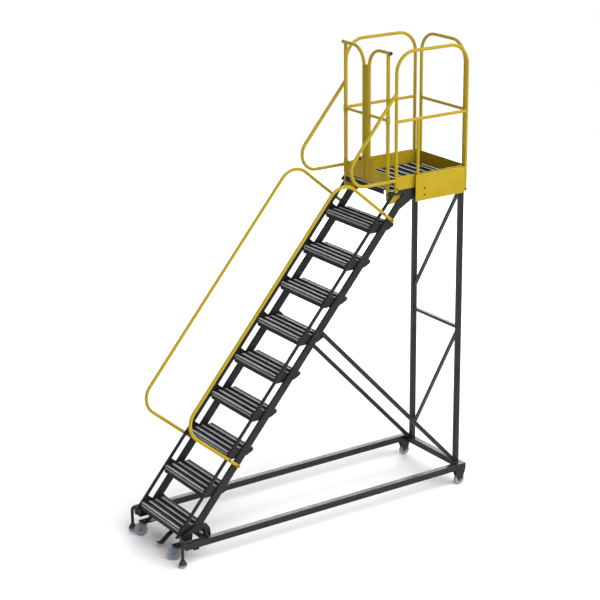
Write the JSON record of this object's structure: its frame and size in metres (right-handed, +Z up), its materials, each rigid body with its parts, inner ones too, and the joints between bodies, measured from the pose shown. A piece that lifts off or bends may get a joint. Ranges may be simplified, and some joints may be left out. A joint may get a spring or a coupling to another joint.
{
  "type": "mobile ladder stand",
  "caption": "Rolling stair ladder with serrated treads, handrails, a guarded top platform, twin swing gates and a pedal lift that takes the casters off the floor.",
  "frame": {"origin": "on the floor, under the centre of the bounding box, with the casters down", "axes": "+Z up, +Y the way a climber faces going up the treads, +X to the climber's right"},
  "size_m": [0.8239, 2.7027, 3.602],
  "materials": {
    "black_paint": "satin powder coat",
    "yellow_paint": "satin powder coat",
    "zinc": "dull zinc plate",
    "foot_rubber": "matte",
    "wheel_tread": "matte",
    "black_plastic": "matte"
  },
  "bodies": {
    "frame": {"tread_1": "black_paint", "tread_2": "black_paint", "tread_3": "black_paint", "tread_4": "black_paint", "tread_5": "black_paint", "tread_6": "black_paint", "tread_7": "black_paint", "tread_8": "black_paint", "tread_9": "black_paint", "deck_planks": "black_paint", "front_rail_left": "black_paint", "front_rail_right": "black_paint", "rear_rail_left": "black_paint", "rear_rail_right": "black_paint", "tread_end_plates_left": "black_paint", "tread_end_plates_right": "black_paint", "base_rail_left": "black_paint", "base_rail_right": "black_paint", "front_cross_tube": "black_paint", "rear_cross_tube": "black_paint", "stringer_shoes": "black_paint", "rear_upright_left": "black_paint", "rear_upright_right": "black_paint", "side_brace_left": "black_paint", "side_brace_right": "black_paint", "rear_braces": "black_paint", "deck_side_beams": "black_paint", "deck_end_beams": "black_paint", "front_legs": "black_paint", "rear_caster_brackets": "black_paint", "toe_board_left": "yellow_paint", "toe_board_right": "yellow_paint", "toe_board_rear": "yellow_paint", "guard_rail_left": "yellow_paint", "guard_rail_right": "yellow_paint", "guard_rail_rear": "yellow_paint", "entry_loop_left": "yellow_paint", "entry_loop_right": "yellow_paint", "handrail_left": "yellow_paint", "handrail_right": "yellow_paint", "gate_post_left": "yellow_paint", "gate_post_right": "yellow_paint", "frame_bolts": "yellow_paint", "rear_axles": "zinc", "rubber_feet": "foot_rubber"},
    "lift": {"lift_shaft": "black_paint", "foot_pedal": "black_paint"},
    "caster_left": {"caster_fork_left": "zinc"},
    "caster_right": {"caster_fork_right": "zinc"},
    "caster_wheel_left": {"caster_wheel_left": "wheel_tread"},
    "caster_wheel_right": {"caster_wheel_right": "wheel_tread"},
    "rear_wheel_left": {"rear_wheel_left": "wheel_tread"},
    "rear_wheel_right": {"rear_wheel_right": "wheel_tread"},
    "gate_left": {"gate_left": "yellow_paint", "gate_stop_strip": "yellow_paint", "gate_plug_left": "black_plastic", "gate_bumper": "black_plastic"},
    "gate_right": {"gate_right": "yellow_paint", "gate_plug_right": "black_plastic"}
  },
  "joints": [
    {"name": "lift_hinge", "type": "hinge", "parent": "frame", "child": "lift", "pos_m": [0, -1.1716, 0.108], "axis": [-1, 0, 0], "range_deg": [0, 9]},
    {"name": "caster_swivel_left", "type": "hinge", "parent": "lift", "child": "caster_left", "pos_m": [-0.252, -1.2786, 0.108], "axis": [0, 0, 1], "continuous": true},
    {"name": "caster_spin_left", "type": "hinge", "parent": "caster_left", "child": "caster_wheel_left", "pos_m": [-0.2686, -1.30359, 0.0508], "axis": [0.8329, -0.5534, 0], "continuous": true},
    {"name": "rear_spin_left", "type": "hinge", "parent": "frame", "child": "rear_wheel_left", "pos_m": [-0.3685, 1.2794, 0.044], "axis": [1, 0, 0], "continuous": true},
    {"name": "gate_hinge_left", "type": "hinge", "parent": "frame", "child": "gate_left", "pos_m": [-0.2725, 0.6134, 3.076], "axis": [0, 0, 1], "range_deg": [0, 88]},
    {"name": "caster_swivel_right", "type": "hinge", "parent": "lift", "child": "caster_right", "pos_m": [0.252, -1.2786, 0.108], "axis": [0, 0, 1], "continuous": true},
    {"name": "caster_spin_right", "type": "hinge", "parent": "caster_right", "child": "caster_wheel_right", "pos_m": [0.2354, -1.30359, 0.0508], "axis": [0.8329, -0.5534, 0], "continuous": true},
    {"name": "rear_spin_right", "type": "hinge", "parent": "frame", "child": "rear_wheel_right", "pos_m": [0.3685, 1.2794, 0.044], "axis": [1, 0, 0], "continuous": true},
    {"name": "gate_hinge_right", "type": "hinge", "parent": "frame", "child": "gate_right", "pos_m": [0.2725, 0.6134, 3.076], "axis": [0, 0, -1], "range_deg": [0, 88]}
  ]
}
